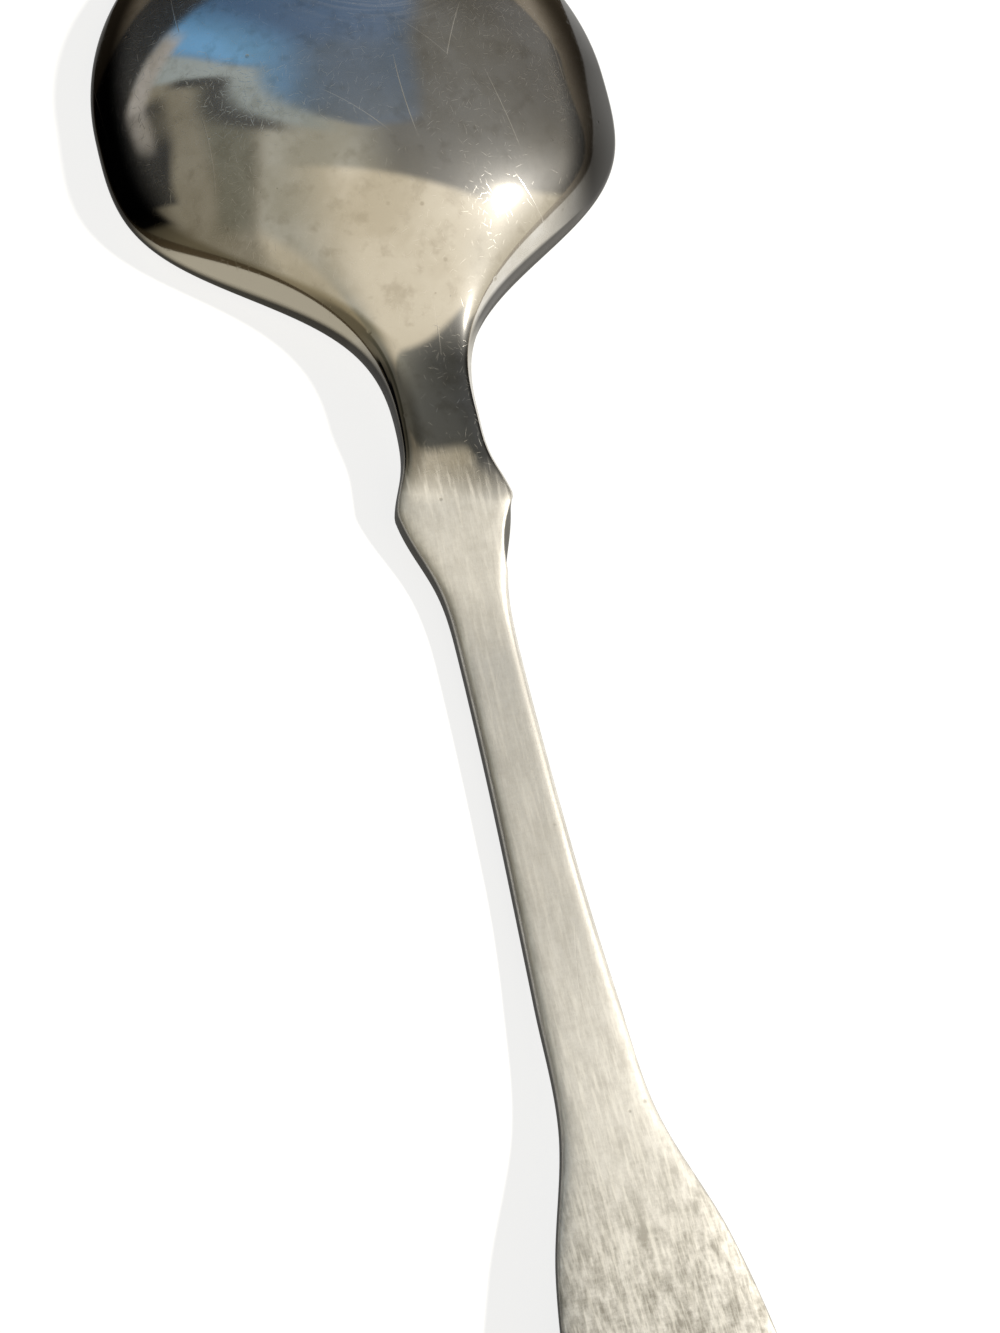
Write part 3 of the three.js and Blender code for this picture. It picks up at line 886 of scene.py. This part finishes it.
    height = product(tree, noise(tree, position, marks["waves"], detail=1.0), marks["waveHeight"])
    for rise, mark in (("scratch", scratch), ("long", long), ("speck", speck), ("wheel", wheel)):
        height = plus(tree, height, mark, marks[rise + "Rise"])
    grainHeight = between(tree, onFlare, satin["grainHeight"], satin["endGrainHeight"])
    height = plus(tree, height, product(tree, tumble["Height"], satinShare), grainHeight)
    bump = addNode(tree, "ShaderNodeBump")
    bump.inputs["Strength"].default_value = 1.0
    bump.inputs["Distance"].default_value = 1.0
    tree.links.new(height, bump.inputs["Height"])
    tree.links.new(bump.outputs[0], shader.inputs["Normal"])
    return material


polishedSteel = spoonSteel("polished steel")
satinSteel = spoonSteel("satin steel")
print("steel ready")

sweep = sweepTree()
bowl = sweptPiece("spoon_bowl", sweep, 0, neckAt, polishedSteel)
handle = sweptPiece("spoon_handle", sweep, neckAt, spoonLength, satinSteel)
closeAtNeck([bowl, handle])
for piece, node, slot in ((bowl, "bowl", "polished_steel"), (handle, "handle", "satin_steel")):
    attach(piece, "root")
    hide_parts(node)
    print(piece.name, "faces:", len(piece.data.polygons))

# the camera, by its angles round the spoon in degrees and its distance in mm
cameraLook = {
    "target": (0.41, 0.52, 3.0), "leanAcross": 13.78, "leanBack": 15.45, "turn": -13.92, "distance": 282.57,
    "focalPixels": 2600, "frameWidth": 1000, "frameHeight": 1333, "sensor": 36.0, "clip": (0.01, 20),
}


def makeCamera():
    away = Vector((-math.tan(math.radians(cameraLook["leanAcross"])),
                   -math.tan(math.radians(cameraLook["leanBack"])), 1)).normalized()
    level = Vector((0, 1, 0))
    level = (level - away * level.dot(away)).normalized()
    across = level.cross(away)
    turn = math.radians(cameraLook["turn"])
    right = math.cos(turn) * across + math.sin(turn) * level
    up = math.cos(turn) * level - math.sin(turn) * across
    data = bpy.data.cameras.new("camera")
    data.sensor_width = cameraLook["sensor"]
    data.lens = cameraLook["focalPixels"] / cameraLook["frameHeight"] * cameraLook["sensor"]
    data.clip_start, data.clip_end = cameraLook["clip"]
    camera = bpy.data.objects.new("camera", data)
    bpy.context.scene.collection.objects.link(camera)
    turned = Matrix((right, up, away)).transposed().to_4x4()
    turned.translation = (Vector(cameraLook["target"]) + away * cameraLook["distance"]) * mm
    camera.matrix_world = turned
    bpy.context.scene.camera = camera
    return turned


cameraPlace = makeCamera()

# a pale floor whose white is seen straight and in the metal, with a brown table outside the picture
floorLook = {
    "colour": (0.26, 0.26, 0.256, 1), "roughness": 0.9, "glow": 0.78, "reach": 3.0, "specular": 0.1,
    "tableColour": (0.13, 0.105, 0.075, 1), "tableRoughness": 0.8, "tableMargin": 1.03, "tableLift": 0.0001,
}


def plainMaterial(name, colour, roughness):
    material = bpy.data.materials.new(name)
    material.use_nodes = True
    shader = material.node_tree.nodes["Principled BSDF"]
    shader.inputs["Base Color"].default_value = colour
    shader.inputs["Roughness"].default_value = roughness
    shader.inputs["Specular IOR Level"].default_value = floorLook["specular"]
    return material, shader


def stageSheet(name, points, faces, material):
    mesh = bpy.data.meshes.new(name)
    mesh.from_pydata(points, [], faces)
    mesh.materials.append(material)
    sheet = bpy.data.objects.new(name, mesh)
    bpy.context.scene.collection.objects.link(sheet)
    return sheet


def makeFloor():
    reach = floorLook["reach"]
    corners = [(-reach, -reach, 0), (reach, -reach, 0), (reach, reach, 0), (-reach, reach, 0)]
    material, shader = plainMaterial("pale floor", floorLook["colour"], floorLook["roughness"])
    tree = material.node_tree
    rays = addNode(tree, "ShaderNodeLightPath").outputs
    seen = largest(tree, rays["Is Camera Ray"], rays["Is Glossy Ray"], rays["Is Transmission Ray"])
    glow = addNode(tree, "ShaderNodeCombineColor")
    for socket in glow.inputs[:3]:
        tree.links.new(seen, socket)
    tree.links.new(glow.outputs[0], shader.inputs["Emission Color"])
    shader.inputs["Emission Strength"].default_value = floorLook["glow"]
    stageSheet("floor", corners, [(0, 1, 2, 3)], material)

    # the table starts where the picture ends, and only the metal sees it
    eye = cameraPlace.translation
    right, up, away = cameraPlace.to_3x3().col
    inner = []
    for side, rise in ((-1, -1), (1, -1), (1, 1), (-1, 1)):
        across = side * cameraLook["frameWidth"] / 2 / cameraLook["focalPixels"]
        over = rise * cameraLook["frameHeight"] / 2 / cameraLook["focalPixels"]
        ray = right * across + up * over - away
        inner.append((eye - ray * eye.z / ray.z) * floorLook["tableMargin"])
    points = [(p[0], p[1], floorLook["tableLift"]) for p in corners + inner]
    rings = [(0, 1, 5, 4), (1, 2, 6, 5), (2, 3, 7, 6), (3, 0, 4, 7)]
    brown, _ = plainMaterial("brown table", floorLook["tableColour"], floorLook["tableRoughness"])
    table = stageSheet("table", points, rings, brown)
    table.visible_camera = False
    table.visible_shadow = False


makeFloor()

# studio: a small warm key lamp and a tent of soft tones round the spoon
studio = {
    "keyDirection": (0.776, -0.267, 0.572), "keyDistance": 1.2, "keySize": 0.045, "keyPower": 22.0,
    "keyColour": (1.0, 0.95, 0.86), "keyTarget": (0.0128, 0.0526, 0.0097), "east": (0.076, 0.079, 0.079, 1),
}
# tones of the tent, each over the ones before it: name, colour, then planes as axis and soft limits along it
tentTones = [
    ("east low", (0.004, 0.004, 0.004), [((0, 0, 1), 0.62, 0.2)]),
    ("zenith", (0.075, 0.077, 0.073), [((0, 0, 1), 0.86, 0.95)]),
    ("south-west", (0.50, 0.485, 0.405), [((-1, 0, 0), -0.28, 0.10)]),
    ("south", (0.93, 0.83, 0.64), [((-0.4, -0.917, 0), -0.02, 0.06), ((1, 0, 0), -0.48, -0.04)]),
    ("south-east low", (0.72, 0.65, 0.50), [((-0.225, -0.974, 0), -0.02, 0.06), ((0, 0, 1), 0.75, 0.58)]),
    ("west", (0.31, 0.28, 0.21), [((-0.977, 0.215, 0), 0.47, 0.57)]),
    ("west band", (0.165, 0.16, 0.115),
     [((-0.977, 0.215, 0), 0.50, 0.59), ((-0.977, 0.215, 0), 0.77, 0.69), ((0, 1, 0), -0.55, -0.25)]),
    ("north-west side", (0.43, 0.49, 0.49), [((0.447, 0.894, 0), 0.22, 0.26), ((-1, 0, 0), 0.0, 0.24)]),
    ("north", (0.03, 0.11, 0.25),
     [((-0.97, 0.243, 0), -0.35, -0.21), ((0, 1, 0), 0.27, 0.37), ((0.447, 0.894, 0), 0.29, 0.34),
      ((0.799, 0.602, 0), -0.05, 0.02)]),
    ("north high", (0.08, 0.125, 0.185),
     [((-0.97, 0.243, 0), -0.35, -0.21), ((0, 1, 0), 0.27, 0.37), ((0.447, 0.894, 0), 0.29, 0.34),
      ((0, 0, 1), 0.72, 0.93)]),
    ("north-west blue", (0.18, 0.48, 0.85),
     [((0.774, 0.634, 0), 0.36, 0.08), ((0.447, 0.894, 0), 0.29, 0.34), ((0.799, 0.602, 0), -0.05, 0.02),
      ((0, 0, 1), 0.92, 0.66)]),
    ("north-west edge", (0.02, 0.02, 0.02),
     [((0.447, 0.894, 0), 0.185, 0.222), ((0.447, 0.894, 0), 0.265, 0.237), ((-1, 0, 0), 0.22, 0.44),
      ((0, 0, 1), 0.4, 0.5)]),
    ("north low", (0.008, 0.012, 0.02), [((0, 1, 0), 0.2, 0.4), ((0, 0, 1), 0.30, 0.18)]),
    ("west low", (0.006, 0.006, 0.007),
     [((-0.174, 0.985, 0), -0.05, 0.08), ((-0.94, 0.34, 0), 0.20, 0.36), ((0, 0, 1), 0.30, 0.22)]),
    ("west patch", (0.008, 0.009, 0.012),
     [((0, 1, 0), 0.04, 0.14), ((0, 1, 0), 0.57, 0.51), ((0, 0, 1), 0.48, 0.41), ((-1, 0, 0), 0.55, 0.68)]),
    ("west light", (0.56, 0.53, 0.50),
     [((0, 0, 1), 0.23, 0.28), ((0, 0, 1), 0.38, 0.33), ((0, 1, 0), 0.48, 0.54), ((-1, 0, 0), 0.46, 0.56)]),
]


def makeLamp():
    data = bpy.data.lights.new("key", "AREA")
    data.shape = "DISK"
    data.size = studio["keySize"]
    data.energy = studio["keyPower"]
    data.color = studio["keyColour"]
    lamp = bpy.data.objects.new("key", data)
    bpy.context.scene.collection.objects.link(lamp)
    direction = Vector(studio["keyDirection"]).normalized()
    lamp.location = direction * studio["keyDistance"] + Vector(studio["keyTarget"])
    lamp.rotation_mode = "QUATERNION"
    lamp.rotation_quaternion = direction.to_track_quat("Z", "Y")


def makeTent():
    world = bpy.data.worlds.new("tent")
    bpy.context.scene.world = world
    world.use_nodes = True
    tree = world.node_tree
    tree.nodes.clear()
    direction = addNode(tree, "ShaderNodeTexCoord").outputs["Generated"]

    def within(axis, start, end):
        node = addNode(tree, "ShaderNodeVectorMath", operation="DOT_PRODUCT")
        tree.links.new(direction, node.inputs[0])
        node.inputs[1].default_value = Vector(axis).normalized()
        return ramp(tree, node.outputs["Value"], start, end, True)

    colour = studio["east"]
    for _, tone, planes in tentTones:
        mask = product(tree, *[within(*plane) for plane in planes])
        colour = mixColour(tree, mask, colour, (*tone, 1))
    back = addNode(tree, "ShaderNodeBackground")
    tree.links.new(colour, back.inputs["Color"])
    out = addNode(tree, "ShaderNodeOutputWorld")
    tree.links.new(back.outputs[0], out.inputs["Surface"])


makeLamp()
makeTent()
bpy.context.scene.view_settings.view_transform = "Standard"
print("stage ready")
